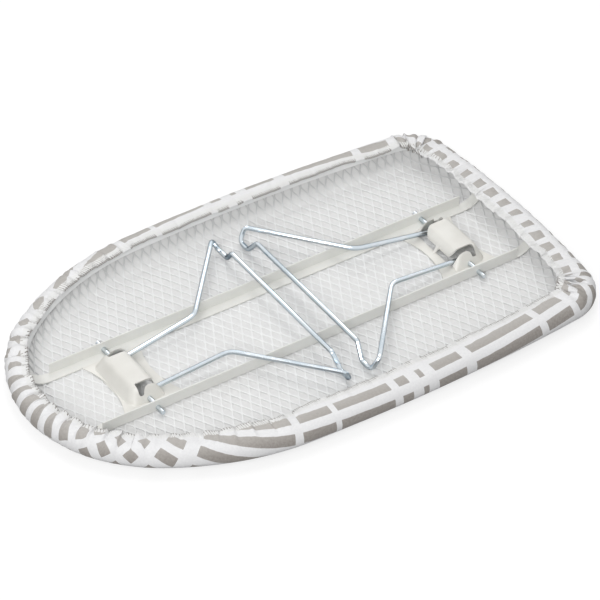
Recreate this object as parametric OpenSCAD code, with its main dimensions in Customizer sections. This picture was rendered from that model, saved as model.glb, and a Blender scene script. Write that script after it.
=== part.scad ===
// Tabletop ironing board, lying on its ironing face with both wire legs folded in.
// X runs along the board from the rounded nose (-X) to the square end (+X), Z is up,
// and the origin is the middle of the ironing face.

/* [Board] */
// Length over the cover
board_l = 600; // [560:5:680]
// Width over the cover
board_w = 360; // [340:5:380]
// Radius of the nose
nose_r = 150; // [140:1:158]
// Radius of the shoulder behind the nose
shoulder_r = 293; // [270:1:320]
// Radius of the long side
side_r = 2200; // [1800:50:3000]
// Radius of each corner of the square end
corner_r = 52; // [48:1:70]
// Radius of the slightly bowed end
end_r = 1127; // [900:10:1600]

/* [Cover and pad] */
// Thickness of the cotton cover
cover_t = 0.8; // [0.6:0.1:1.5]
// Thickness of the pad under the mesh
pad_t = 4; // [3:0.5:8]
// Height at which the padded edge bulges furthest
bulge_z = 16; // [14:1:20]
// How far the underside of the padded edge curves in
belly = 36; // [30:1:40]
// How far in the rolled edge of the cover is highest
roll_in = 13; // [10:1:16]
// Height of the rolled edge above the bulge
roll_h = 14; // [13:0.5:18]
// How far in the hem lies
hem_in = 30; // [26:1:38]
// How far the hem sags below the roll
hem_drop = 1.5; // [0:0.5:4]
// Width of the elastic in the hem
elastic_w = 5; // [3:0.5:8]
// Thickness of the elastic
elastic_t = 1; // [0.6:0.1:2]

/* [Expanded-metal deck] */
// Thickness of the sheet
mesh_t = 1.2; // [1:0.1:2]
// Long way of a diamond, across the board
mesh_long = 26; // [20:1:40]
// Short way of a diamond, along the board
mesh_short = 14.5; // [11:0.5:22]
// Width of a strand
strand_w = 2; // [1.5:0.1:4]
// How far in the flat floor ends
floor_in = 42; // [40:1:46]
// Radius of the dished edge, to the middle of the sheet
dish_r = 24; // [22:0.5:26]
// How far the edge turns up
dish_turn = 81; // [70:1:84]
// Share of a cell that its opening takes in the dished edge
edge_open = 0.78; // [0.5:0.02:0.86]

/* [Rim] */
// Thickness of the rim channel
rim_t = 1; // [0.8:0.1:1.5]
// Depth of the rim channel
rim_h = 8; // [5:0.5:10]

/* [Rails] */
// Distance over the webs of the two rails
rail_w = 103.6; // [96:0.2:112]
// Height of a rail
rail_h = 13; // [11:0.5:18]
// Width of a rail's flange
flange_w = 11.7; // [8:0.1:16]
// Thickness of a rail
rail_t = 1.2; // [1:0.1:2]
// Gap between the end of a web and the dished edge
web_end_gap = 1; // [0.5:0.5:6]

/* [Wire legs] */
// Diameter of the wire
wire_d = 5; // [4:0.5:6]
// Distance of the nose leg's axle from the middle
nose_axle = 181.5; // [170:0.5:186]
// Distance of the tail leg's axle from the middle
tail_axle = 206.2; // [196:0.1:212]
// Height of the axles above the mesh
axle_h = 4.3; // [3.8:0.1:6]
// How far a stub axle stands out of its rail
stub_out = 10.2; // [4:0.2:14]
// Distance between an arm and the middle line at the axle
arm_y = 26.5; // [25:0.5:28]
// Where the arms bend outwards, from the axle
knee_u = 95.7; // [80:0.1:110]
// Half the width over the arms there
knee_y = 32.3; // [30:0.1:34]
// Length of a leg, from the axle to the crossbar
leg_l = 178.5; // [160:0.5:184]
// Half the width over the feet
foot_y = 122; // [116:1:126]
// Half the length of the crossbar
bar_y = 91; // [70:1:96]
// Height of the crossbar above the mesh when folded
bar_h = 21; // [19:0.5:24]
// Height of the knees above the mesh when folded
knee_h = 17.9; // [16:0.1:20]
// How far behind the crossbar a side ends
foot_rake = 5; // [3:0.5:8]
// How far the round end of a foot loop stands out past the crossbar
foot_out = 2.5; // [0:0.5:4]
// How much lower than the crossbar a side ends
foot_drop = 2; // [0:0.5:4]
// How far a foot loop leans in towards its round end
foot_cant = 2.5; // [0:0.5:6]
// Width of the foot loop at its round end
foot_w = 16; // [13:0.5:18]
// Radius of the bend at the axle
axle_bend = 6; // [5:0.5:7]
// Radius of the bend at the knee
knee_bend = 18; // [10:1:24]
// Radius of the two bends at the round end of the foot loop
foot_bend = 7; // [5:0.5:8]
// Radius of the bends where the foot loop leaves the side and the crossbar
top_bend = 5; // [4:0.5:6]

/* [Hinge brackets] */
// Thickness of the stamped sheet
sheet_t = 1.5; // [1.2:0.1:1.8]
// Height of the hump above the mesh
hump_h = 18; // [17:0.5:22]
// Width of the hump's flat top along the board
hump_top = 24; // [22:0.5:26]
// How far the hump leans over the axle towards the end of the board
hump_out = 14.5; // [13:0.5:16]
// Slant of the hump's outer face
slope_out = 7.5; // [5:0.5:12]
// Slant of the hump's inner face
slope_in = 10.4; // [6:0.5:14]
// Slant of the ears
slope_ear = 7.5; // [4:0.5:9]
// Half the width of the hump at its foot
hump_y = 38.5; // [37.5:0.5:39.5]
// Rounding of the hump's outer corners, seen from above
hump_r = 10; // [5:0.5:12]
// Rounding of the hump's inner corners, seen from above
tongue_r = 5; // [4:0.5:8]
// Width of the slot across the foot of the hump
slot_w = 5.5; // [4:0.5:7]
// Width of the bridge that is left in the middle of that slot
bridge_w = 3; // [2:0.5:6]
// Rounding of the inner corners of the slots
slot_r = 7; // [3:0.5:8]
// Edge of an ear on the side of the middle of the board
ear_in = 17.5; // [16:0.5:18.5]
// Edge of an ear on the side of the end of the board
ear_out = 5.5; // [4:0.5:6]
// Height of an ear above the mesh
ear_h = 17; // [14:0.5:17]
// Rounding of an ear's top
ear_r = 8; // [5:0.5:9]
// How far the slot beside an ear runs down the side
ear_slot = 4; // [3:0.5:6]
// Rounding of the ends of the slots
slot_end = 2; // [1:0.1:2.2]
// Reach of the foot plate towards the middle of the board
plate_in = 36; // [32:1:42]
// Reach of the foot plate towards the end of the board
plate_out = 31; // [28:1:36]
// How far the foot plate is cut in at the middle line, on the inner side
waist_in = 9; // [4:0.5:12]
// How far the foot plate is cut in at the middle line, on the outer side
waist_out = 9.2; // [4:0.2:9.2]

/* [Fits] */
// Radial running clearance of the stub axles
axle_play = 0.05; // [0.02:0.01:0.1]
// Clearance between an arm and its slot
arm_play = 0.4; // [0.3:0.1:0.8]
// Gap under the folded feet
foot_gap = 2.5; // [0.5:0.5:4]
// Gap between layers that lie on each other in a curve
layer_gap = 0.1; // [0.05:0.05:0.3]
// Angle through which a leg opens
open_angle = 108; // [90:1:112]

/* [Hidden] */
$fn = 32;

// heights of the layers
mesh_z = cover_t + pad_t;
deck_z = mesh_z + mesh_t;

// ---- plan outline: tangent arcs, mirrored about the long axis ----
side_end = 87;                                   // direction of the normal where shoulder meets side
nose_end = asin((side_r - board_w / 2 - (side_r - shoulder_r) * sin(side_end)) / (shoulder_r - nose_r));
function polar(r, a) = [r * cos(a), r * sin(a)];
nose_c = [-board_l / 2 + nose_r, 0];
shoulder_c = nose_c - polar(shoulder_r - nose_r, 180 - nose_end);
side_c = shoulder_c - polar(side_r - shoulder_r, 180 - side_end);
end_c = [board_l / 2 - end_r, 0];
// the corner circle touches the side and the end from inside
corner_c = let (d = end_c - side_c, l = norm(d), a = side_r - corner_r, b = end_r - corner_r,
                k = (a * a - b * b + l * l) / (2 * l), h = sqrt(a * a - k * k))
    side_c + d * k / l + [d[1], -d[0]] * h / l;
function heading(v) = atan2(v[1], v[0]);
corner_start = heading(corner_c - side_c);
corner_end = heading(corner_c - end_c);
// each arc: centre, radius, first and last direction, number of steps
ARCS = [[nose_c, nose_r, 180, 180 - nose_end, 7], [shoulder_c, shoulder_r, 180 - nose_end, 180 - side_end, 8],
        [side_c, side_r, 180 - side_end, corner_start, 13], [corner_c, corner_r, corner_start, corner_end, 6],
        [end_c, end_r, corner_end, 0, 5]];
HALF = [for (a = ARCS, i = [0:a[4] - 1]) [a[0], a[1], a[2] + (a[3] - a[2]) * i / a[4]]];
// every station of the closed outline: centre, radius, direction
STATIONS = [each HALF, [end_c, end_r, 0],
            each [for (i = [len(HALF) - 1:-1:1]) [[HALF[i][0][0], -HALF[i][0][1]], HALF[i][1], -HALF[i][2]]]];
turns = len(STATIONS);
function at(s, inset) = s[0] + polar(s[1] - inset, s[2]);
function outline(inset) = [for (s = STATIONS) at(s, inset)];

// ---- sections, as [inset from the outline, height] ----
function arc(c, rx, rz, a0, a1, n) =
    [for (i = [0:n]) let (a = a0 + (a1 - a0) * i / n) c + [rx * cos(a), rz * sin(a)]];
function turned(list) = [for (i = [len(list) - 1:-1:0]) list[i]];
function edge_skin(d) = concat(arc([belly, bulge_z], belly - d, bulge_z - d, 270, 180, 4),
                               arc([roll_in, bulge_z], roll_in - d, roll_h - d, 157.5, 90, 3));
hem_z = bulge_z + roll_h - hem_drop;
dish_c = [floor_in, mesh_z + mesh_t / 2 + dish_r];
function dish(r, turn) = dish_c + [-r * sin(turn), -r * cos(turn)];
// directions at which the dished edge is divided: its rows of diamonds, then the top that the rim grips
EDGE_ROWS = 4;
grip_turn = (rim_h - rim_t) / dish_r * 180 / PI;
LEVELS = [for (i = [0:EDGE_ROWS]) (dish_turn - grip_turn) * i / EDGE_ROWS, dish_turn];

function cross2(a, b) = a[0] * b[1] - a[1] * b[0];
function total(list) = list * [for (v = list) 1];
function next(i, list) = (i + 1) % len(list);
// the same section, listed clockwise
function clockwise(s) = total([for (i = [0:len(s) - 1]) cross2(s[i], s[next(i, s)])]) > 0 ? turned(s) : s;

function quad(a, b, c, d) = [[a, b, c], [a, c, d]];
// faces of n outlines of m points each, stacked, with a cap at both ends
function stack(n, m) = [[for (i = [0:m - 1]) i], [for (i = [m - 1:-1:0]) (n - 1) * m + i],
    for (k = [0:n - 2], i = [0:m - 1]) let (p = k * m + i, q = k * m + (i + 1) % m)
        each quad(p, p + m, q + m, q)];

// a closed section carried round the outline
module ring(shape) {
    section = clockwise(shape);
    m = len(section);
    polyhedron([for (s = STATIONS, p = section) [each at(s, p[0]), p[1]]],
               [for (j = [0:turns - 1], i = [0:m - 1]) let (k = (j + 1) % turns, l = (i + 1) % m)
                   each quad(j * m + i, k * m + i, k * m + l, j * m + l)]);
}

// a closed section carried past a few stations, closed at both ends
module run(shape, stations) {
    section = clockwise(shape);
    polyhedron([for (s = stations, p = section) [each at(s, p[0]), p[1]]], stack(len(stations), len(section)));
}

// an open section carried round the outline, closed by a flat face at each end
module dished(section) {
    m = len(section);
    polyhedron([for (s = STATIONS, p = section) [each at(s, p[0]), p[1]]],
               [[for (j = [turns - 1:-1:0]) j * m], [for (j = [0:turns - 1]) j * m + m - 1],
                for (j = [0:turns - 1], i = [0:m - 2]) let (k = (j + 1) % turns)
                   each quad(j * m + i, k * m + i, k * m + i + 1, j * m + i + 1)]);
}

// ---- soft parts ----
module cover() color("whitesmoke")
    dished([each edge_skin(0), [hem_in, hem_z], [hem_in, hem_z - cover_t], each turned(edge_skin(cover_t))]);

module pad() color("gainsboro") {
    by_rim = dish_r + mesh_t / 2 + rim_t + 3 * layer_gap;
    by_sheet = dish_r + mesh_t / 2 + layer_gap;
    top = dish(by_rim, dish_turn);
    skin = [for (p = edge_skin(cover_t + layer_gap)) if (p[1] < top[1]) p];
    dished(concat([[belly, cover_t]], [for (i = [1:len(skin) - 1]) skin[i]],
                  [[roll_in / 2, top[1]], top, dish(by_rim, LEVELS[EDGE_ROWS])],
                  [for (i = [EDGE_ROWS - 1:-1:1]) dish(by_sheet, LEVELS[i])], [[floor_in, mesh_z]]));
}

module hem_elastic() color("white")
    translate([0, 0, hem_z - cover_t - layer_gap - elastic_t])
        ring([[hem_in - elastic_w, 0], [hem_in, 0], [hem_in, elastic_t], [hem_in - elastic_w, elastic_t]]);

// ---- expanded-metal deck ----
// true inside a convex outline that runs clockwise
function inside(p, poly) =
    min([for (i = [0:len(poly) - 1]) cross2(p - poly[i], poly[next(i, poly)] - poly[i])]) > 0;

module deck_floor() color("white") translate([0, 0, mesh_z]) {
    border = outline(floor_in + strand_w);
    slant = norm([mesh_long, mesh_short]);
    half_x = mesh_short / 2 - strand_w * slant / mesh_long / 2;
    half_y = mesh_long / 2 - strand_w * slant / mesh_short / 2;
    nx = floor(board_l / mesh_short);
    ny = floor(board_w / mesh_long);
    linear_extrude(mesh_t) difference() {
        polygon(outline(floor_in));
        for (i = [-nx:nx], j = [-ny:ny]) {
            c = [i * mesh_short / 2, j * mesh_long / 2];
            tips = [c + [half_x, 0], c + [0, half_y], c - [half_x, 0], c - [0, half_y]];
            whole = min([for (t = tips) inside(t, border) ? 1 : 0]) > 0;
            if ((i + j) % 2 == 0 && whole) polygon(tips);
        }
    }
}

// the edge of the same sheet, turned up: staggered rows of diamonds, and a plain top that the rim grips
module deck_edge() color("white") {
    // both faces of the sheet at every level and station: side 0 is the inside, side 1 the outside
    nodes = [for (a = LEVELS) [for (s = STATIONS) [for (r = [dish_r - mesh_t / 2, dish_r + mesh_t / 2])
        let (p = dish(r, a)) [each at(s, p[0]), p[1]]]]];
    cells = [for (i = [1:EDGE_ROWS - 1], j = [0:turns - 1]) if ((i + j) % 2 == 0) [i, j]];
    around = [[-1, 0], [0, 1], [1, 0], [0, -1]];     // foot, next, top and previous corner of a diamond
    node_at = function (c, k, side) nodes[c[0] + around[k][0]][(c[1] + around[k][1] + turns) % turns][side];
    tips = [for (c = cells, k = [0:3], side = [0, 1])
        let (mid = nodes[c[0]][c[1]][side]) mid + edge_open * (node_at(c, k, side) - mid)];
    g = function (i, j, side) ((i * turns + (j + turns) % turns) * 2) + side;
    h = function (n, k, side) len(LEVELS) * turns * 2 + (n * 4 + k % 4) * 2 + side;
    corner = function (c, k, side) g(c[0] + around[k % 4][0], c[1] + around[k % 4][1], side);
    top = EDGE_ROWS;
    faces = [
        for (n = [0:len(cells) - 1], k = [0:3]) let (c = cells[n]) each concat(
            quad(h(n, k, 0), h(n, k + 1, 0), corner(c, k + 1, 0), corner(c, k, 0)),
            quad(corner(c, k, 1), corner(c, k + 1, 1), h(n, k + 1, 1), h(n, k, 1)),
            quad(h(n, k + 1, 0), h(n, k, 0), h(n, k, 1), h(n, k + 1, 1))),
        for (j = [0:2:turns - 2]) each [
            [g(0, j - 1, 0), g(1, j, 0), g(0, j, 0)], [g(0, j, 0), g(1, j, 0), g(0, j + 1, 0)],
            [g(0, j, 1), g(1, j, 1), g(0, j - 1, 1)], [g(0, j + 1, 1), g(1, j, 1), g(0, j, 1)],
            [g(top, j - 1, 0), g(top, j, 0), g(top - 1, j, 0)],
            [g(top, j, 0), g(top, j + 1, 0), g(top - 1, j, 0)],
            [g(top - 1, j, 1), g(top, j, 1), g(top, j - 1, 1)],
            [g(top - 1, j, 1), g(top, j + 1, 1), g(top, j, 1)]],
        for (j = [0:turns - 1]) each concat(
            quad(g(top, j, 0), g(top + 1, j, 0), g(top + 1, j + 1, 0), g(top, j + 1, 0)),
            quad(g(top, j + 1, 1), g(top + 1, j + 1, 1), g(top + 1, j, 1), g(top, j, 1)),
            quad(g(0, j, 0), g(0, j + 1, 0), g(0, j + 1, 1), g(0, j, 1)),
            quad(g(top + 1, j + 1, 0), g(top + 1, j, 0), g(top + 1, j, 1), g(top + 1, j + 1, 1)))];
    polyhedron([for (level = nodes, s = level, p = s) p, each tips], faces);
}

// a point near the top of the dished edge: out of the sheet, and up along it
lean = dish_turn - grip_turn / 2;
function by_edge(out, up) =
    dish(dish_r, dish_turn) + [-sin(lean), -cos(lean)] * out + [-cos(lean), sin(lean)] * up;
module rim() color("white") {
    half = mesh_t / 2 + layer_gap;
    top = rim_t + layer_gap;
    ring([by_edge(half, top - rim_h), by_edge(half + rim_t, top - rim_h), by_edge(half + rim_t, top),
          by_edge(-half - rim_t, top), by_edge(-half - rim_t, top - rim_h), by_edge(-half, top - rim_h),
          by_edge(-half, layer_gap), by_edge(half, layer_gap)]);
}

// ---- rails ----
axle_z = deck_z + axle_h;
bore_r = wire_d / 2 + axle_play;
module across(x) translate([x, 0, axle_z]) rotate([90, 0, 0])
    cylinder(r = bore_r, h = rail_w + 10, center = true);

module strip_of(w) translate([-board_l / 2, rail_w / 2 - w]) square([board_l, w]);

// the flange runs on as a strap up the dished edge at both ends, as far as the rim
function strap_side(r) = [for (i = [0:EDGE_ROWS - 1]) dish(r, LEVELS[i]),
                          dish(r, LEVELS[EDGE_ROWS - 1]) * 0.1 + dish(r, LEVELS[EDGE_ROWS]) * 0.9];
module rail() color("whitesmoke") difference() {
    lip = dish_r - mesh_t / 2 - layer_gap;
    reach = 3 * flange_w;
    union() {
        translate([0, 0, deck_z]) linear_extrude(rail_t) intersection() {
            strip_of(flange_w);
            polygon(outline(floor_in));
        }
        translate([0, 0, deck_z]) linear_extrude(rail_h) intersection() {
            strip_of(rail_t);
            polygon(outline(floor_in + web_end_gap));
        }
        for (end = [-1, 1]) intersection() {
            linear_extrude(board_w) strip_of(flange_w);
            run([[floor_in + 2, deck_z], each strap_side(lip), each turned(strap_side(lip - rail_t)),
                 [floor_in + 2, deck_z + rail_t]],
                [for (s = HALF) if (at(s, 0)[0] * end > 0 && abs(at(s, floor_in)[1] - rail_w / 2) < reach) s]);
        }
    }
    across(-nose_axle);
    across(tail_axle);
}
module rail_far() rail();
module rail_near() mirror([0, 1, 0]) rail();

// ---- hinge brackets, drawn with the middle of the board towards +X ----
hump_in = hump_top - hump_out;
// rises of the hump from its foot to its flat top, as [share of the height, share of the slant]
RISES = [[0, -0.15], [0.05, 0], [0.2, 0.2], [0.72, 0.72], [0.88, 0.92], [0.97, 1.12], [1, 1.45]];
// outline of the hump, seen from above, at a share of its slant
function hump_ring(share, inset) = let (
    u0 = inset - hump_out - slope_out * (1 - share), u1 = hump_in + slope_in * (1 - share) - inset,
    y1 = hump_y - slope_ear * share - inset)
    [for (q = [0:3], a = [0:22.5:90]) let (inner = q % 3 == 0, r = (inner ? tongue_r : hump_r) - inset)
        [inner ? u1 - r : u0 + r, q < 2 ? y1 - r : r - y1] + polar(r, 90 * q + a)];
// a closed form through outlines stacked from the bottom up
module loft(rings) polyhedron([for (l = rings) each l], stack(len(rings), len(rings[0])));
// the hump, or its hollow where a wall is left
module hump(wall) {
    rings = [for (v = RISES) [for (p = hump_ring(v[1], wall * 2 / 3)) [each p, v[0] * hump_h - wall]]];
    loft([[for (p = rings[0]) [p[0], p[1], -wall - 1]], each rings]);
}
slot_y = arm_y - wire_d / 2 - arm_play;
slot_far = arm_y + (knee_y - arm_y) * (hump_in + slope_in) / knee_u + wire_d / 2 + arm_play;
slot_u = hump_in + slope_in;
open_lean = open_angle + atan((knee_h - axle_h) / knee_u) - 90;
slot_back = (hump_h - axle_h) * tan(open_lean) + (wire_d / 2 + arm_play) / cos(open_lean);
// the slots for the arms, seen from above
module slots() for (m = [0, 1]) mirror([0, m])
    offset(r = slot_end) offset(delta = -slot_end) offset(r = -slot_r) offset(delta = slot_r) {
        translate([-slot_back, slot_y]) square([slot_back + slot_u, slot_far - slot_y]);
        translate([-slot_back, slot_y]) square([slot_back - ear_out, slot_far + ear_slot - slot_y]);
        translate([slot_u - slot_w, bridge_w / 2]) square([slot_w, slot_far - bridge_w / 2]);
    }
// what is cut from the hump's side above and beside an ear
module ear_sides() difference() {
    translate([-ear_out, sheet_t]) square([ear_out + slot_u, hump_h]);
    offset(r = ear_r) offset(delta = -ear_r)
        translate([-ear_out, -hump_h]) square([ear_out + ear_in, hump_h + ear_h]);
}
edge_y = rail_w / 2 - flange_w;
// radius of the arc that cuts the foot plate in by the given depth
function waist_r(depth) = (edge_y * edge_y + depth * depth) / (2 * depth);
module foot_plate() difference() {
    translate([-plate_out, -edge_y]) square([plate_out + plate_in, 2 * edge_y]);
    translate([plate_in - waist_in + waist_r(waist_in), 0]) circle(waist_r(waist_in), $fn = 96);
    translate([waist_out - plate_out - waist_r(waist_out), 0]) circle(waist_r(waist_out), $fn = 96);
}
module bracket() color("ivory") translate([0, 0, deck_z]) difference() {
    union() {
        linear_extrude(sheet_t) foot_plate();
        intersection() {
            hump(0);
            linear_extrude(hump_h + 1) square(4 * hump_y, center = true);
        }
    }
    hump(sheet_t);
    translate([0, 0, sheet_t]) linear_extrude(hump_h) slots();
    for (s = [-1, 1]) translate([0, s * (slot_far + hump_y) / 2, 0]) rotate([90, 0, 0])
        linear_extrude(hump_y - slot_far + 2, center = true) ear_sides();
    translate([0, 0, axle_h]) rotate([90, 0, 0]) cylinder(r = bore_r, h = 4 * hump_y, center = true);
}
module bracket_nose() translate([-nose_axle, 0, 0]) bracket();
module bracket_tail() translate([tail_axle, 0, 0]) mirror([1, 0, 0]) bracket();

// ---- wire legs, drawn with the axle at the origin and the middle of the board towards +X ----
function unit(v) = v / norm(v);
// distance from a corner at which its bend of radius r begins
function setback(a, b, c, r) = r / tan(acos(unit(a - b) * unit(c - b)) / 2);
// points round a bend of radius r at corner b, with the direction of the wire at each
function bend(a, b, c, r, n) = let (u = unit(b - a), v = unit(c - b), t = setback(a, b, c, r),
        start = b - u * t, turn = acos(u * v), side = unit(v - u * (u * v)))
    [for (i = [0:n]) let (k = turn * i / n)
        [start + (u * sin(k) + side * (1 - cos(k))) * r, u * cos(k) + side * sin(k)]];
// frames carried along the wire without twist
function carry(rings, i, x) = i == len(rings) ? [] :
    let (t = rings[i][1], y = unit(x - t * (x * t))) [y, each carry(rings, i + 1, y)];
module wire(points, radii, d, sides = 10) {
    last = len(points) - 1;
    rings = [[points[0], unit(points[1] - points[0])],
             for (i = [1:last - 1]) let (r = radii[i - 1])
                 each bend(points[i - 1], points[i], points[i + 1], r, r > 10 ? 3 : 4),
             [points[last], unit(points[last] - points[last - 1])]];
    xs = carry(rings, 0, [0, 0, 1]);
    polyhedron([for (i = [0:len(rings) - 1], s = [0:sides - 1]) let (a = 360 * s / sides)
                   rings[i][0] + (xs[i] * cos(a) + cross(rings[i][1], xs[i]) * sin(a)) * d / 2],
               stack(len(rings), sides));
}
stub_end = rail_w / 2 + stub_out;
foot_z = wire_d / 2 + foot_gap - axle_h;
bare = 0.02;                                     // the bent wire ends just inside the round stubs
SIDE = [[0, arm_y + axle_bend + 3, 0], [0, arm_y, 0], [knee_u, knee_y, knee_h - axle_h],
        [leg_l - foot_rake, foot_y, bar_h - axle_h - foot_drop],
        [leg_l + foot_out, foot_y - foot_cant, foot_z],
        [leg_l + foot_out, foot_y - foot_cant - foot_w, foot_z], [leg_l, bar_y, bar_h - axle_h]];
BENDS = [axle_bend, knee_bend, top_bend, foot_bend, foot_bend, top_bend];
module leg() color("lightsteelblue") translate([0, 0, axle_z]) {
    wire([each SIDE, for (p = turned(SIDE)) [p[0], -p[1], p[2]]], [each BENDS, each turned(BENDS)],
         wire_d - bare);
    for (s = [-1, 1]) translate([0, s * stub_end, 0]) rotate([s * 90, 0, 0])
        cylinder(d = wire_d, h = stub_end - arm_y - axle_bend - 1);
}
module leg_nose() translate([-nose_axle, 0, 0]) leg();
module leg_tail() translate([tail_axle, 0, 0]) mirror([1, 0, 0]) leg();

deck_floor();
deck_edge();
rim();
rail_near();
rail_far();
bracket_nose();
bracket_tail();
leg_nose();
leg_tail();
pad();
cover();
hem_elastic();
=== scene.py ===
"""Looks of a tabletop ironing board that lies on its ironing face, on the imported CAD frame.

Lengths are metres. A station is a place on the board's outline, and an inset is a distance in from it.
"""
import math
import bpy
import numpy as np
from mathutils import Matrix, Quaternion, Vector


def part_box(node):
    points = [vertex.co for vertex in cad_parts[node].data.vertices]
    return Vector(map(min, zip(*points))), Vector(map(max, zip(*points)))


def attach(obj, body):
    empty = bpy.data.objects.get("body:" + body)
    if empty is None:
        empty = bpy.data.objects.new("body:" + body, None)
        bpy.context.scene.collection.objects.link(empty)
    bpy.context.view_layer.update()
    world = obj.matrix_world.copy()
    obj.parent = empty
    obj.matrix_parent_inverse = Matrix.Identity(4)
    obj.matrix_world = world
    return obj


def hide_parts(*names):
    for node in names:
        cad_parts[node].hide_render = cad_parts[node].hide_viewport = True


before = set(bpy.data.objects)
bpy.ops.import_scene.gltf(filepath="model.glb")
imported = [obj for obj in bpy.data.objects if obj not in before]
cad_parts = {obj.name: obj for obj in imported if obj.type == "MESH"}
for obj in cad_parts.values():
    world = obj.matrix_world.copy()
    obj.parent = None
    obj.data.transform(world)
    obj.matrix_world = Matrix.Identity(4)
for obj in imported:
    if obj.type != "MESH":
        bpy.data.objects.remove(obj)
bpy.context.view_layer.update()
MM = 0.001
TAU = 2 * math.pi

# ---- the board's outline and layers, as in the CAD ----
low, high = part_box("cover")
LENGTH, WIDTH = high.x - low.x, high.y - low.y
NOSE_R, SHOULDER_R, SIDE_R, CORNER_R, END_R = 0.150, 0.293, 2.2, 0.052, 1.127
SIDE_TURN = math.radians(87)                # where the shoulder meets the long side
BELLY, BULGE_Z = 36 * MM, 16 * MM           # underside of the padded edge, height of the bulge
ROLL_IN, ROLL_H = 13 * MM, 14 * MM          # top of the rolled edge
AXIS_ENDS = (-0.16, 0.245)                  # part of the long axis from which the flat faces spread
COVER_T = 0.8 * MM
SKIN = COVER_T + 0.5 * MM                   # the felt's face lies this far inside the cover's
PAD_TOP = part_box("deck_floor")[0].z         # the pad ends where the mesh begins
FLOOR_IN, DISH_R, DISH_TURN = 42 * MM, 24 * MM, math.radians(81)
SHEET_MID = (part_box("deck_floor")[0].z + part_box("deck_floor")[1].z) / 2
DISH_Z = SHEET_MID + DISH_R
# pitch of the expanded metal along and across the board, and its strand
PITCH_X, PITCH_Y, STRAND, STRAND_T = 10.9 * MM, 20 * MM, 1.4 * MM, 0.7 * MM


def polar(radius, angle):
    """Plan point at a distance and direction from the origin."""
    return np.asarray(radius)[..., None] * np.stack([np.cos(angle), np.sin(angle)], -1)


def outline_arcs():
    """Centre, radius, first and last direction of each arc of half the outline, from the nose."""
    rise = SIDE_R - WIDTH / 2 - (SIDE_R - SHOULDER_R) * math.sin(SIDE_TURN)
    nose_turn = math.asin(rise / (SHOULDER_R - NOSE_R))
    nose = np.array([NOSE_R - LENGTH / 2, 0])
    shoulder = nose - polar(SHOULDER_R - NOSE_R, math.pi - nose_turn)
    side = shoulder - polar(SIDE_R - SHOULDER_R, math.pi - SIDE_TURN)
    end = np.array([LENGTH / 2 - END_R, 0])
    # the corner's centre is where circles about the side's and the end's centres cross
    gap, a, b = end - side, SIDE_R - CORNER_R, END_R - CORNER_R
    far = np.linalg.norm(gap)
    k = (a * a - b * b + far * far) / (2 * far)
    corner = side + gap * k / far + np.array([gap[1], -gap[0]]) * math.sqrt(a * a - k * k) / far
    start, stop = (math.atan2(*(corner - c)[::-1]) for c in (side, end))
    return [
        (nose, NOSE_R, math.pi, math.pi - nose_turn),
        (shoulder, SHOULDER_R, math.pi - nose_turn, math.pi - SIDE_TURN),
        (side, SIDE_R, math.pi - SIDE_TURN, start),
        (corner, CORNER_R, start, stop),
        (end, END_R, stop, 0.0),
    ]


ARCS = outline_arcs()


class Stations:
    """Places round the outline about a step apart, from the nose tip over the far side."""

    def __init__(self, step):
        centre, radius, angle = [], [], []
        for c, r, a0, a1 in ARCS:
            n = max(2, round(r * (a0 - a1) / step))
            centre += [c] * n
            radius += [r] * n
            angle += list(a0 + (a1 - a0) * np.arange(n) / n)
        centre, radius, angle = np.array(centre), np.array(radius), np.array(angle)
        back = slice(None, 0, -1)
        tail = (ARCS[-1][0], ARCS[-1][1], 0.0)
        self.centre = np.vstack([centre, tail[0], centre[back] * [1, -1]])
        self.radius = np.hstack([radius, tail[1], radius[back]])
        self.angle = np.hstack([angle, tail[2], -angle[back]])
        self.out = polar(np.ones(len(self.angle)), self.angle)
        edge = self.at(0.0)[:, 0]
        steps = np.linalg.norm(np.roll(edge, -1, 0) - edge, axis=1)
        self.girth = steps.sum()
        self.s = np.cumsum(steps) - steps
        self.count = len(self.s)

    def at(self, inset):
        """Plan points at insets, as an array of stations by insets."""
        reach = self.radius[:, None] - np.atleast_2d(inset)
        return self.centre[:, None] + reach[..., None] * self.out[:, None]


def nearest(plan):
    """Inset from the outline and outward direction of plan points; far inside, 1 m and none."""
    side = np.where(plan[..., 1:] < 0, -1.0, 1.0) * [0, 1] + [1, 0]
    upper = plan * side
    inset, out = np.full(plan.shape[:-1], 1.0), np.zeros(plan.shape)
    for c, r, a0, a1 in ARCS:
        v = upper - c
        angle, reach = np.arctan2(v[..., 1], v[..., 0]), np.linalg.norm(v, axis=-1)
        hit = (angle <= a0 + 1e-6) & (angle >= a1 - 1e-6) & (r - reach < inset)
        inset = np.where(hit, r - reach, inset)
        out = np.where(hit[..., None], v / np.maximum(reach, 1e-9)[..., None] * side, out)
    return inset, out


def ripple(s, girth, lows, highs, seed, count=12):
    """Smooth seeded noise round the outline, about -1 to 1, with lows to highs waves in a turn."""
    rng = np.random.default_rng(seed)
    waves, phase = rng.integers(lows, highs, count), rng.uniform(0, TAU, count)
    return np.sin(np.outer(s, waves) * TAU / girth + phase).sum(-1) / math.sqrt(count)


def smooth(x):
    """0 below 0, 1 above 1 and eased between."""
    x = np.clip(x, 0, 1)
    return x * x * (3 - 2 * x)


# ---- meshes ----
def at_height(plan, z):
    """Plan points, as stations by section points, with their heights."""
    return np.concatenate([plan, np.broadcast_to(z, plan.shape[:2])[..., None]], -1)


def piece(name, verts, faces, material, body="deck", shade=True):
    """A new piece of the object that rides on a body."""
    mesh = bpy.data.meshes.new(name)
    mesh.from_pydata(np.asarray(verts).reshape(-1, 3).tolist(), [], np.asarray(faces).tolist())
    mesh.polygons.foreach_set("use_smooth", [shade] * len(mesh.polygons))
    mesh.materials.append(material)
    obj = bpy.data.objects.new(name, mesh)
    bpy.context.scene.collection.objects.link(obj)
    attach(obj, body)
    return obj


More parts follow.
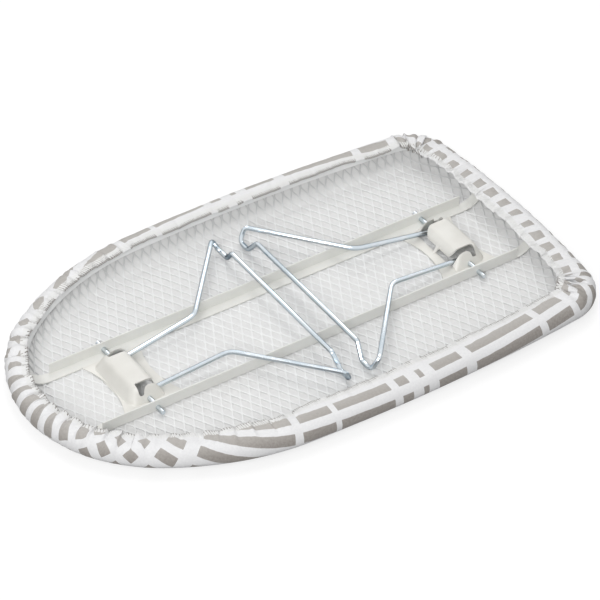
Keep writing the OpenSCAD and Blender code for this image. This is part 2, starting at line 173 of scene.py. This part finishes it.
def grid_faces(n, m, wrap_m=False):
    """Quads of n stations, closed round, by m section points."""
    j, i = np.meshgrid(np.arange(n), np.arange(m if wrap_m else m - 1), indexing="ij")
    k, l = (j + 1) % n, (i + 1) % m
    return np.stack([j * m + i, k * m + i, k * m + l, j * m + l], -1).reshape(-1, 4)


def paint_uv(obj, name, uv, wrap_m=False):
    """Store uv, stations + 1 by section points, on a grid made by grid_faces."""
    n, m = uv.shape[0] - 1, uv.shape[1]
    j, i = np.meshgrid(np.arange(n), np.arange(m if wrap_m else m - 1), indexing="ij")
    k, l = j + 1, (i + 1) % m
    corners = np.stack([uv[j, i], uv[k, i], uv[k, l], uv[j, l]], 2)
    obj.data.uv_layers.new(name=name).data.foreach_set("uv", corners.ravel())


def ring_tube(points, radius, sides):
    """Vertices and faces of a tube along a closed ring of points."""
    ahead = np.roll(points, -1, 0) - np.roll(points, 1, 0)
    ahead /= np.linalg.norm(ahead, axis=1)[:, None]
    across = np.cross(ahead, [0, 0, 1.0])
    across /= np.maximum(np.linalg.norm(across, axis=1), 1e-9)[:, None]
    up = np.cross(across, ahead)
    turn = np.arange(sides) * TAU / sides
    ring = across[:, None] * np.cos(turn)[:, None] + up[:, None] * np.sin(turn)[:, None]
    return points[:, None] + ring * radius, grid_faces(len(points), sides, wrap_m=True)


# ---- materials ----
DISH_WALL_SHADE = 0.78                           # tone of the painted shade on the dish wall, as a share of the darker colour's


class Nodes:
    """Short ways to add nodes to a tree. A value is a number or a socket to link."""

    def __init__(self, tree):
        self.tree = tree

    def put(self, node, values):
        for key, value in values.items():
            if isinstance(value, bpy.types.NodeSocket):
                self.tree.links.new(value, node.inputs[key])
            else:
                node.inputs[key].default_value = value

    def add(self, kind, values=None, **settings):
        node = self.tree.nodes.new("ShaderNode" + kind)
        for key, value in settings.items():
            setattr(node, key, value)
        self.put(node, values or {})
        return node

    def calc(self, operation, *terms):
        node = self.add("Math", dict(enumerate(terms)), operation=operation)
        return node.outputs[0]

    def mix(self, factor, a, b):
        """Colour a where the factor is 0 and b where it is 1; 6, 7 and 2 are the colour sockets."""
        node = self.add("Mix", {0: factor, 6: a, 7: b}, data_type="RGBA")
        return node.outputs[2]

    def noise(self, scale, detail=3.0, vector=None):
        node = self.add("TexNoise", {"Scale": scale, "Detail": detail})
        self.put(node, {"Vector": vector or self.add("TexCoord").outputs["Object"]})
        return node.outputs["Fac"]

    def span(self, value, low, high, to_low=0.0, to_high=1.0):
        """The value carried from low..high to to_low..to_high, and held at the ends."""
        node = self.add("MapRange", {0: value, 1: low, 2: high, 3: to_low, 4: to_high})
        return node.outputs[0]

    def band(self, value, start, stop, soft):
        """1 where value lies between start and stop, with soft edges."""
        rise = self.span(value, start - soft, start + soft)
        fall = self.span(value, stop - soft, stop + soft)
        return self.calc("SUBTRACT", rise, fall)

    def bump(self, height, distance, strength=1.0, under=None):
        node = self.add("Bump", {"Height": height, "Distance": distance, "Strength": strength})
        if under:
            self.put(node, {"Normal": under})
        return node.outputs[0]

    def seen(self):
        """1 for rays from the camera, from a glossy surface or through glass, 0 for light."""
        path = self.add("LightPath").outputs
        mirrored = self.calc("MAXIMUM", path["Is Glossy Ray"], path["Is Transmission Ray"])
        return self.calc("MAXIMUM", path["Is Camera Ray"], mirrored)


class Shader(Nodes):
    """The nodes of a material with a Principled shader."""

    def __init__(self, name, colour, roughness, **sockets):
        self.material = bpy.data.materials.new(name)
        self.material.use_nodes = True
        super().__init__(self.material.node_tree)
        self.shader = self.tree.nodes["Principled BSDF"]
        self.put(self.shader, {"Base Color": (*colour, 1), "Roughness": roughness, **sockets})

    def finish(self, **sockets):
        self.put(self.shader, {key.replace("_", " "): value for key, value in sockets.items()})
        return self.material


def painted(name, colour, dirt_and_shade, roughness, dish_shade=None):
    """Stoving paint on steel: faint orange peel, uneven gloss and a slightly darker tone in hollows.

    Where two heights are given, the colour is painted darker between them: painted shade on the strands
    that rise up the dish wall.
    """
    gloss = {"Specular IOR Level": 0.45, "Coat Weight": 0.12, "Coat Roughness": 0.2}
    m = Shader(name, colour, roughness, **gloss)
    cloud = m.noise(38.0, 4.0)
    # convexity from pointiness: the tone turns darker in hollows
    convexity = m.span(m.add("NewGeometry").outputs["Pointiness"], 0.44, 0.52)
    grime = m.calc("MULTIPLY", m.span(cloud, 0.35, 0.75), 0.35)
    tone = m.mix(m.calc("MAXIMUM", grime, m.calc("SUBTRACT", 1.0, convexity)), (*colour, 1), (*dirt_and_shade, 1))
    # painted shade: the colour darkens with height, on the strands up the dish wall
    if dish_shade:
        height = m.add("SeparateXYZ", {0: m.add("TexCoord").outputs["Object"]}).outputs[2]
        dish_shade_tone = [DISH_WALL_SHADE * c for c in dirt_and_shade]
        tone = m.mix(m.span(height, *dish_shade), tone, (*dish_shade_tone, 1))
    peel = m.bump(m.noise(900.0, 2.0), 0.06 * MM, 0.5)
    uneven = m.span(cloud, 0.3, 0.7, roughness - 0.06, roughness + 0.08)
    return m.finish(Base_Color=tone, Roughness=uneven, Normal=peel)


def zinc():
    """Bright bluish zinc plate on drawn wire, a little uneven in tone and gloss."""
    m = Shader("zinc_plate", (0.68, 0.74, 0.79), 0.14, Metallic=1.0,
               **{"Specular Tint": (0.08, 0.12, 0.16, 1)})
    cloud = m.noise(45.0, 3.0)
    tone = m.mix(m.span(cloud, 0.35, 0.7), (0.63, 0.71, 0.77, 1), (0.74, 0.78, 0.81, 1))
    draw = m.bump(m.noise(260.0, 2.0), 0.02 * MM, 0.25)
    return m.finish(Base_Color=tone, Roughness=m.span(cloud, 0.3, 0.7, 0.10, 0.17), Normal=draw)


def felt():
    """Needled felt: pale tufts with loose fibres."""
    m = Shader("needled_felt", (0.75, 0.75, 0.745), 0.95,
               **{"Sheen Weight": 0.35, "Sheen Roughness": 0.6})
    fibres, tufts = m.noise(1500.0, 6.0), m.noise(170.0, 4.0)
    tone = m.mix(m.span(tufts, 0.3, 0.7), (0.70, 0.70, 0.695, 1), (0.755, 0.755, 0.75, 1))
    fuzz = m.bump(fibres, 0.4 * MM, 0.5, m.bump(tufts, 1.2 * MM, 0.4))
    return m.finish(Base_Color=tone, Normal=fuzz)


# where the printed blocks of a row start and stop along the board, in millimetres of flat cloth
BLOCKS = [(-346, -303), (-291, -277), (-266, -254), (-241, -220), (-205, -106), (-96, -58),
          (-50, 10), (20, 33), (45, 53), (65, 100), (112, 195), (206, 240), (250, 294), (305, 317),
          (328, 339)]
PRINT_LONG = 800 * MM                       # length of cloth that the blocks are placed on
ROW_PITCH, ROW_WIDE, ROW_SHIFT = 21.5 * MM, 11.5 * MM, 6.5 * MM
WAVER = 1.2 * MM                            # how far the print's edges stray
WEAVE_THREAD = 0.55 * MM
ROW_SOFT = 0.012                            # softness of a row's edges, as a share of its pitch
HEM_WIDE, HEM_SOFT = 6.5 * MM, 0.3 * MM     # the overlocked strip and the softness of its edges
LOOP_PITCH, LOOP_LEAN = 2.1 * MM, 9 * MM    # loops along the hem, and the way in that they lean by one


def cotton():
    """Printed plain-weave cotton: rows of taupe blocks, with an overlocked hem.

    The UV map cloth holds the place on the flat cloth, and hem the way round it and in from its edge.
    """
    m = Shader("printed_cotton", (0.82, 0.82, 0.82), 0.9,
               **{"Sheen Weight": 0.18, "Sheen Roughness": 0.5})
    flat = m.add("UVMap", uv_map="cloth").outputs[0]
    waver = m.add("TexNoise", {"Scale": 90.0, "Detail": 2.0, "Vector": flat})
    nudge = m.add("VectorMath", {0: waver.outputs["Color"], 1: (0.5, 0.5, 0.5)}, operation="SUBTRACT")
    shift = m.add("VectorMath", {0: nudge.outputs[0], "Scale": WAVER}, operation="SCALE")
    place = m.add("VectorMath", {0: flat, 1: shift.outputs[0]}, operation="ADD")
    xy = m.add("SeparateXYZ", {0: place.outputs[0]})
    # a row's blocks: a ramp along the cloth that is 1 on each block and 0 between them
    along = m.calc("ADD", m.calc("DIVIDE", xy.outputs[0], PRINT_LONG), 0.5)
    column = m.add("ValToRGB", {0: along})
    ramp = column.color_ramp
    ramp.interpolation = "CONSTANT"
    ramp.elements.remove(ramp.elements[1])
    ramp.elements[0].color = (0, 0, 0, 1)
    for start, stop in BLOCKS:
        for edge, tone in ((start, 1), (stop, 0)):
            ramp.elements.new(edge * MM / PRINT_LONG + 0.5).color = (tone, tone, tone, 1)
    column = column.outputs[0]
    from_row = m.calc("SUBTRACT", xy.outputs[1], ROW_SHIFT)
    beat = m.calc("FRACT", m.calc("DIVIDE", from_row, ROW_PITCH))
    half = ROW_WIDE / ROW_PITCH / 2
    row = m.calc("SUBTRACT", 1.0, m.band(beat, half, 1 - half, ROW_SOFT))
    ink = m.calc("MULTIPLY", column, row)
    # weave: threads that pass over and under each other
    threads = m.add("VectorMath", {0: flat, "Scale": TAU / 2 / WEAVE_THREAD}, operation="SCALE")
    txy = m.add("SeparateXYZ", {0: threads.outputs[0]})
    weave = m.calc("MULTIPLY", m.calc("SINE", txy.outputs[0]), m.calc("SINE", txy.outputs[1]))
    slub = m.noise(420.0, 3.0, flat)
    # overlock: slanting loops of thread over the cut edge
    hem = m.add("SeparateXYZ", {0: m.add("UVMap", uv_map="hem").outputs[0]})
    edge = m.band(hem.outputs[1], 0.0, HEM_WIDE, HEM_SOFT)
    slant = m.calc("ADD", m.calc("DIVIDE", hem.outputs[0], LOOP_PITCH),
                   m.calc("DIVIDE", hem.outputs[1], LOOP_LEAN))
    loop = m.calc("ABSOLUTE", m.calc("SINE", m.calc("MULTIPLY", slant, math.pi)))
    thread = m.calc("MULTIPLY", m.span(loop, 0.25, 0.55), edge)
    # print on the very edge, seen between the loops, painted darker than the print as shade in the gaps
    print_and_shade_between_loops = m.calc("MULTIPLY", column, m.band(hem.outputs[1], -1.0 * MM, 2.2 * MM, HEM_SOFT))
    base = m.mix(m.span(slub, 0.3, 0.7), (0.78, 0.78, 0.79, 1), (0.84, 0.84, 0.845, 1))
    taupe = m.mix(m.span(slub, 0.3, 0.7), (0.29, 0.265, 0.245, 1), (0.37, 0.345, 0.32, 1))
    # painted sheen: the print is painted paler towards the hem, over the top of the rolled edge
    print_sheen = m.span(hem.outputs[1], 34 * MM, 12 * MM, 0.0, 0.42)
    taupe = m.mix(print_sheen, taupe, (0.66, 0.645, 0.62, 1))
    print_on = m.mix(print_and_shade_between_loops, m.mix(ink, base, taupe), (0.15, 0.13, 0.115, 1))
    tone = m.mix(thread, print_on, (0.80, 0.80, 0.79, 1))
    creases = m.bump(m.noise(45.0, 4.0, flat), 2.2 * MM, 0.35)
    cloth = m.bump(weave, 0.12 * MM, 0.5, creases)
    loops = m.bump(loop, 0.3 * MM, m.calc("MULTIPLY", edge, 0.6), cloth)
    return m.finish(Base_Color=tone, Normal=loops)


def woven_tape():
    """Elastic tape with ribs of woven rubber thread."""
    m = Shader("elastic_tape", (0.86, 0.86, 0.85), 0.8, **{"Sheen Weight": 0.2})
    place = m.add("SeparateXYZ", {0: m.add("UVMap", uv_map="tape").outputs[0]})
    rib_pitch = 0.9 * MM
    ribs = m.calc("SINE", m.calc("MULTIPLY", place.outputs[1], math.pi / rib_pitch))
    ribs = m.calc("ABSOLUTE", ribs)
    # painted shade: the tape is darker in the grooves between its ribs
    tone = m.mix(ribs, (0.72, 0.72, 0.71, 1), (0.88, 0.88, 0.87, 1))
    return m.finish(Base_Color=tone, Normal=m.bump(ribs, 0.3 * MM, 0.7))


def yarn():
    """Plied sewing thread."""
    m = Shader("sewing_thread", (0.80, 0.80, 0.79), 0.7, **{"Sheen Weight": 0.2})
    ply = m.noise(2600.0, 2.0)
    tone = m.mix(m.span(ply, 0.3, 0.7), (0.76, 0.76, 0.75, 1), (0.83, 0.83, 0.825, 1))
    return m.finish(Base_Color=tone, Normal=m.bump(ply, 0.08 * MM, 0.6))


# ---- cover ----
# how hard the elastic gathers the cloth on each arc of the outline, from 0 to 1
PULL = {NOSE_R: 0.72, SHOULDER_R: 0.46, SIDE_R: 0.1, CORNER_R: 1.0, END_R: 0.62}
PULL_REACH = 14 * MM                        # the pull passes gently from one arc to the next
HEM_IN = 28.5 * MM                          # mean inset of the hem
TUCK = np.linspace(2, 9, 5) * MM            # how far in the hem's under edge runs, point by point
TURN_POINTS = 6                             # section points where the hem turns under
FOLD_POINTS = TURN_POINTS + len(TUCK)       # section points from the hem's edge to the cut edge
TAPE_POINTS = 4                             # section points across the elastic tape


def gather_strength(st):
    """The pull at each station, eased along the outline."""
    pull = np.array([PULL[radius] for radius in st.radius])
    offset = (st.s[:, None] - st.s[None] + st.girth / 2) % st.girth - st.girth / 2
    weight = np.exp(-(offset / PULL_REACH) ** 2)
    return weight @ pull / weight.sum(1)


def hem_line(st):
    """Inset of the hem: the elastic is pulled a little off centre and cuts the corners."""
    pull, nose_pull = gather_strength(st), PULL[NOSE_R]
    uneven = ripple(st.s, st.girth, 8, 30, 5) * 0.9 * MM
    near, tail = -st.out[:, 1] * 5.0 * MM, st.out[:, 0] * 6.0 * MM
    corners = smooth((pull - nose_pull) / (1 - nose_pull)) * 3.5 * MM
    return HEM_IN + near + tail + corners + uneven


def cover_rows(st):
    """Points, flat places, and distance to the hem edge, as stations by section points."""
    hem = hem_line(st)[:, None]
    # the section runs under the bulge, over the rolled edge and in to the hem
    under = np.radians(np.linspace(270, 180, 15))
    over = np.radians(np.linspace(180, 90, 11))[1:]
    t = np.linspace(0, 1, 15)[1:]
    one = np.ones((st.count, 1))
    inset = np.hstack([one * (BELLY + BELLY * np.cos(under)), one * (ROLL_IN + ROLL_IN * np.cos(over)),
                       ROLL_IN + (hem - ROLL_IN) * t])
    sag = ripple(st.s, st.girth, 5, 22, 11)[:, None] * 0.6 * MM - 1.6 * MM
    z = np.hstack([one * (BULGE_Z + BULGE_Z * np.sin(under)), one * (BULGE_Z + ROLL_H * np.sin(over)),
                   BULGE_Z + ROLL_H + sag * t ** 1.6])
    run_in, run_z = np.gradient(inset, axis=1), np.gradient(z, axis=1)
    steps = np.hypot(np.diff(inset, axis=1), np.diff(z, axis=1))
    length = np.hstack([np.zeros((st.count, 1)), np.cumsum(steps, 1)])
    to_hem = length[:, -1:] - length
    size = np.hypot(run_in, run_z)
    normal = np.stack([-run_z / size, run_in / size], -1)
    # the hem turns under round the elastic
    turn = np.radians(np.linspace(90, -90, TURN_POINTS + 1))[1:]
    roll = 1.15 * MM
    top = z[:, -1:]
    fold_in = np.hstack([hem + roll * np.cos(turn), hem - TUCK])
    fold_z = np.hstack([top - roll + roll * np.sin(turn), top - 2 * roll + 0 * TUCK])
    fold_length = length[:, -1:] + np.hstack([roll * (math.pi / 2 - turn), roll * math.pi + TUCK])
    inset, z = np.hstack([inset, fold_in]), np.hstack([z, fold_z])
    length = np.hstack([length, fold_length])
    to_hem = np.hstack([to_hem, one * np.hstack([0 * turn, TUCK])])
    normal = np.concatenate([normal, np.repeat(normal[:, -1:], FOLD_POINTS, 1)], 1)
    lift, slide = gathers(st, to_hem)
    inset, z = inset + normal[..., 0] * lift, z + normal[..., 1] * lift
    across = np.stack([-st.out[:, 1], st.out[:, 0]], -1)[:, None]
    plan = st.at(inset) + across * slide[..., None]
    flat = st.at(BELLY - length)
    return at_height(plan, np.maximum(z, 0)), flat, to_hem


def gathers(st, to_hem):
    """How far the cloth lifts off its smooth form, and slides along the outline, in its gathers."""
    def noise(lows, highs, seed):
        return ripple(st.s, st.girth, lows, highs, seed)

    pull = gather_strength(st)
    # gathers follow each other every 7 to 11 mm, with a whole number of them round the outline
    closeness = 1 / (11.0 * MM - 4.0 * MM * pull) * (1 + 0.28 * noise(20, 90, 2))
    phase = np.cumsum(closeness) * st.girth / st.count
    phase *= TAU * round(phase[-1]) / phase[-1]
    broad_phase = np.round(phase[-1] / TAU * 0.45) * TAU / phase[-1] * phase
    pull, phase, broad_phase = pull[:, None], phase[:, None], broad_phase[:, None]
    # each gather leans its own way and dies out away from the hem
    slope = noise(12, 70, 3)[:, None]
    near = smooth(1 - to_hem / (16 * MM + 30 * MM * pull))
    wide = smooth(1 - to_hem / (24 * MM + 36 * MM * pull))
    fold = phase + slope * to_hem / (7 * MM)
    crest = 1.25 * np.abs(np.sin(fold / 2)) - 0.45 + 0.25 * np.cos(fold + 1.1)
    drift = 0.7 * noise(9, 40, 4)[:, None]
    broad = np.cos(broad_phase - slope * to_hem / (12 * MM) + drift)
    vary = 1 + 0.45 * noise(30, 120, 6)[:, None]
    deep = (0.5 * MM + 3.0 * MM * pull ** 1.4) * vary
    # shallow wrinkles that run along the board's edge
    along = noise(6, 26, 8)[:, None] * np.sin(to_hem / (5.2 * MM)) * 0.22 * MM
    lift = deep * (0.75 * near * crest + 0.55 * wide * broad) + along * (to_hem < 60 * MM)
    slide = deep * near * np.cos(fold / 2 + 0.4) * 0.9
    return lift, slide


def long_axis(x):
    """Points on the board's long axis abreast of x, kept to the part between AXIS_ENDS."""
    x = np.clip(x, *AXIS_ENDS)
    return np.stack([x, 0 * x], -1)[:, None]


def make_cover():
    """The cover, its points as stations by section points, its cut edge laid flat, and the stations."""
    st = Stations(1.5 * MM)
    rows, flat, to_hem = cover_rows(st)
    # the ironing face runs from the long axis out to the padded edge, with shallow dents
    axis = long_axis(rows[:, 0, 0])
    t = np.linspace(0, 1, 16)[:-1, None]
    face = axis + (rows[:, :1, :2] - axis) * t
    waves = 1 + np.sin(face[..., 0] * 61) * np.sin(face[..., 1] * 83 + 1)
    dent = 0.12 * MM * waves * (1 - t[:, 0] ** 4)
    rows = np.concatenate([at_height(face, dent), rows], 1)
    flat = np.concatenate([face, flat], 1)
    to_hem = np.concatenate([np.full(face.shape[:2], 1.0), to_hem], 1)
    cover = piece("cotton_cover", rows, grid_faces(*rows.shape[:2]), cotton())
    around = np.append(st.s, st.girth)[:, None] + 0 * to_hem[:1]
    paint_uv(cover, "cloth", np.concatenate([flat, flat[:1]]))
    paint_uv(cover, "hem", np.stack([around, np.concatenate([to_hem, to_hem[:1]])], -1))
    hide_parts("cover")
    return cover, rows, flat[:, -1], st


def make_elastic(rows, st):
    """The tape inside the hem follows its gathers."""
    top = rows[:, -FOLD_POINTS - TAPE_POINTS:-FOLD_POINTS]
    tape = np.concatenate([top - [0, 0, 0.8 * MM], top[:, ::-1] - [0, 0, 1.5 * MM]], 1)
    faces = grid_faces(*tape.shape[:2], wrap_m=True)
    elastic = piece("hem_tape", tape, faces, woven_tape())
    across = np.arange(TAPE_POINTS) * 1.8 * MM
    around = np.append(st.s, st.girth)[:, None]
    both_faces = np.append(across, across[::-1])
    uv = np.stack(np.broadcast_arrays(around, both_faces), -1)
    paint_uv(elastic, "tape", uv, wrap_m=True)
    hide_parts("hem_elastic")
    return elastic


# ---- felt pad ----
def pillow(plan):
    """Height of the felt over its plain top: it swells into the diamonds and sinks beside the rails."""
    beat = np.cos(plan[..., 0] * TAU / PITCH_X) * np.cos(plan[..., 1] * TAU / PITCH_Y)
    sunk = smooth((np.abs(plan[..., 1]) - 48 * MM) / (20 * MM))
    return (0.25 + 0.4 * np.clip(beat, 0, 1) - 0.4 * sunk) * MM


def make_pad():
    """Felt that fills the cover from the ironing face up to the mesh and the rolled edge."""
    st = Stations(2.5 * MM)
    floor = st.at(FLOOR_IN)
    axis = long_axis(floor[:, 0, 0])
    top = axis + (floor - axis) * np.linspace(0, 1, 56)[:, None]
    # up behind the dish, in under the rolled edge, and down round the bulge
    behind = DISH_R + 0.9 * MM
    turn = np.linspace(0.06, DISH_TURN - 0.3, 15)
    section = [(FLOOR_IN - behind * math.sin(a), DISH_Z - behind * math.cos(a)) for a in turn]
    section += [(section[-1][0] - 2.5 * MM, section[-1][1] + 0.8 * MM)]
    section += [(ROLL_IN - (ROLL_IN - SKIN) * math.cos(a), BULGE_Z + (ROLL_H - SKIN) * math.sin(a))
                for a in np.radians([24, 12, 0])]
    section += [(BELLY - (BELLY - SKIN) * math.cos(a), BULGE_Z - (BULGE_Z - SKIN) * math.sin(a))
                for a in np.radians([15, 30, 45, 60, 75, 90])]
    inset, z = np.array(section).T
    side = st.at(inset)
    base = axis + (side[:, -1:] - axis) * np.linspace(1, 0, 8)[1:, None]
    rows = np.concatenate([at_height(top, PAD_TOP + pillow(top)), at_height(side, z),
                           at_height(base, SKIN)], 1)
    pad = piece("felt_pad", rows, grid_faces(*rows.shape[:2]), felt())
    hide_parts("pad")
    return pad


# ---- expanded metal ----
def press(plan, height):
    """Points of the flat sheet after its edge has been pressed into the dish."""
    inset, out = nearest(plan)
    past = np.maximum(FLOOR_IN - inset, 0)
    turn = past / DISH_R
    reach = DISH_R - height
    shifted = plan + out * (reach * np.sin(turn) - past)[..., None]
    z = np.where(past > 0, DISH_Z - reach * np.cos(turn), SHEET_MID + height)
    return np.concatenate([shifted, z[..., None]], -1), past


def make_mesh_deck(material):
    """Strands that zigzag across the board, each bonded to the next where they meet, tilted as cut."""
    half = PITCH_X / 2
    count = math.ceil(LENGTH / half / 2)
    steps = 12                              # points along one diamond
    reach = math.ceil(WIDTH / PITCH_Y / 2) * steps
    y = np.arange(-reach, reach + 1) * PITCH_Y / steps
    steep = 1.4                             # above 1, the zigzag has flat bonds at its turns
    wave = np.clip(steep * (4 * np.abs((y / PITCH_Y) % 1 - 0.5) - 1), -1, 1)
    swing = (half - STRAND) / 2
    tilt = math.radians(10)
    ends = DISH_R * DISH_TURN - 1.2 * MM    # the strands end just short of the dish's top edge
    corner = np.array([(-1, -1), (1, -1), (1, 1), (-1, 1)]) * [STRAND / 2, STRAND_T / 2]
    side = corner[:, 0] * math.cos(tilt) - corner[:, 1] * math.sin(tilt)
    rise = corner[:, 0] * math.sin(tilt) + corner[:, 1] * math.cos(tilt)
    verts, faces = [], []
    for i in range(-count, count + 1):
        x = (i + 0.5) * half + (-1) ** i * wave * swing
        plan = np.stack(np.broadcast_arrays(x[:, None] + side, y[:, None]), -1)
        strand, past = press(plan, np.broadcast_to(rise, plan.shape[:2]))
        quads = grid_faces(len(y), 4, wrap_m=True)[:-4]
        keep = (past < ends).all(1) & (nearest(plan)[0] > 0).all(1)
        quads = quads[keep[quads // 4].all(1)]
        faces.append(quads + len(verts) * strand.shape[0] * 4)
        verts.append(strand.reshape(-1, 3))
    verts, faces = np.concatenate(verts), np.concatenate(faces)
    used, index = np.unique(faces, return_inverse=True)
    deck = piece("expanded_metal", verts[used], index.reshape(-1, 4), material,
                 shade=False)
    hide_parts("deck_floor", "deck_edge")


def make_stitches(rows):
    """Overlock thread that crosses to and fro over the hem's edge."""
    edge, back = rows[:, -FOLD_POINTS], rows[:, -FOLD_POINTS - TAPE_POINTS - 1]
    path = np.where((np.arange(len(rows)) % 2 == 0)[:, None], edge, back) + [0, 0, 0.25 * MM]
    middle = (path + np.roll(path, -1, 0)) / 2 + [0, 0, 0.15 * MM]
    verts, faces = ring_tube(np.stack([path, middle], 1).reshape(-1, 3), 0.15 * MM, 5)
    return piece("overlock_thread", verts, faces, yarn())


def dress(node, finish):
    """Give a CAD node its finish, and smooth shading up to its true edges."""
    node.data.materials.clear()
    node.data.materials.append(finish)
    node.data.polygons.foreach_set("use_smooth", [True] * len(node.data.polygons))
    node.modifiers.new("weld", "WELD").merge_threshold = 0.01 * MM
    node.modifiers.new("edges", "EDGE_SPLIT").split_angle = math.radians(34)


# the mesh's strands up the dish wall get painted shade between these two heights
mesh_paint = painted("mesh_enamel", (0.815, 0.82, 0.82), (0.71, 0.715, 0.715), 0.42,
                     dish_shade=(SHEET_MID + 0.5 * MM, SHEET_MID + 7 * MM))
cover, rows, cut, stations = make_cover()
tape = make_elastic(rows, stations)
stitches = make_stitches(rows)
make_mesh_deck(mesh_paint)
pad = make_pad()

# ---- carried-over CAD pieces ----
FINISHES = {
    ("rim",): painted("rim_enamel", (0.83, 0.835, 0.835), (0.73, 0.735, 0.735), 0.42),
    ("rail_near", "rail_far"): painted("frame_enamel", (0.78, 0.78, 0.75), (0.66, 0.66, 0.62), 0.38),
    ("bracket_nose", "bracket_tail"): painted("bracket_enamel", (0.75, 0.74, 0.70),
                                              (0.57, 0.55, 0.50), 0.36),
    ("leg_nose", "leg_tail"): zinc(),
}
for names, finish in FINISHES.items():
    for name in names:
        dress(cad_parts[name], finish)


# ---- stage ----
def make_floor(glow, reach=6.0):
    """A floor that throws little light up and is lifted to white where it is seen."""
    m = Shader("paper_floor", (0.28, 0.28, 0.28), 0.9, **{"Emission Color": (1, 1, 1, 1)})
    tone = m.mix(m.noise(6.0, 3.0), (0.27, 0.27, 0.27, 1), (0.29, 0.29, 0.29, 1))
    lifted = m.calc("MULTIPLY", m.seen(), glow)
    mesh = bpy.data.meshes.new("floor")
    corners = [(-reach, -reach, 0), (reach, -reach, 0), (reach, reach, 0), (-reach, reach, 0)]
    mesh.from_pydata(corners, [], [(0, 1, 2, 3)])
    mesh.materials.append(m.finish(Base_Color=tone, Emission_Strength=lifted))
    floor = bpy.data.objects.new("floor", mesh)
    bpy.context.scene.collection.objects.link(floor)


def lamp(name, place, size, power):
    """A rectangular area lamp that faces the origin."""
    light = bpy.data.lights.new(name, "AREA")
    light.shape, light.energy = "RECTANGLE", power
    light.size, light.size_y = size
    obj = bpy.data.objects.new(name, light)
    obj.location = place
    obj.rotation_mode = "QUATERNION"
    obj.rotation_quaternion = Vector(place).to_track_quat("Z", "Y")
    bpy.context.scene.collection.objects.link(obj)


def make_camera():
    """Camera at the photograph's angle, with its slight roll."""
    azimuth, elevation, roll = math.radians(-34.76), math.radians(40.06), math.radians(1.49)
    aim, distance = Vector((0.0198, -0.0004, 0.0194)), 3.390
    back = Vector((math.sin(azimuth) * math.cos(elevation),
                   -math.cos(azimuth) * math.cos(elevation), math.sin(elevation)))
    data = bpy.data.cameras.new("camera")
    data.sensor_width, data.lens = 36.0, 201.2
    camera = bpy.data.objects.new("camera", data)
    camera.location = aim + back * distance
    camera.rotation_mode = "QUATERNION"
    camera.rotation_quaternion = Quaternion(back, roll) @ back.to_track_quat("Z", "Y")
    bpy.context.scene.collection.objects.link(camera)
    bpy.context.scene.camera = camera


def make_world(light):
    """An even surround that lights at a plain level and is seen white, in metal too."""
    world = bpy.data.worlds.new("studio")
    bpy.context.scene.world = world
    world.use_nodes = True
    m = Nodes(world.node_tree)
    strength = m.calc("MAXIMUM", m.seen(), light)
    m.put(m.tree.nodes["Background"], {"Color": (1, 1, 1, 1), "Strength": strength})


make_floor(glow=0.74)
make_camera()
lamp("overhead", (0.3, 0.5, 2.2), (1.1, 1.1), 12)
lamp("front", (-1.7, -1.5, 1.9), (1.4, 1.4), 44)
lamp("rim", (0.6, 1.85, 1.75), (2.6, 0.5), 9)
make_world(light=0.45)
bpy.context.scene.view_settings.view_transform = "Standard"
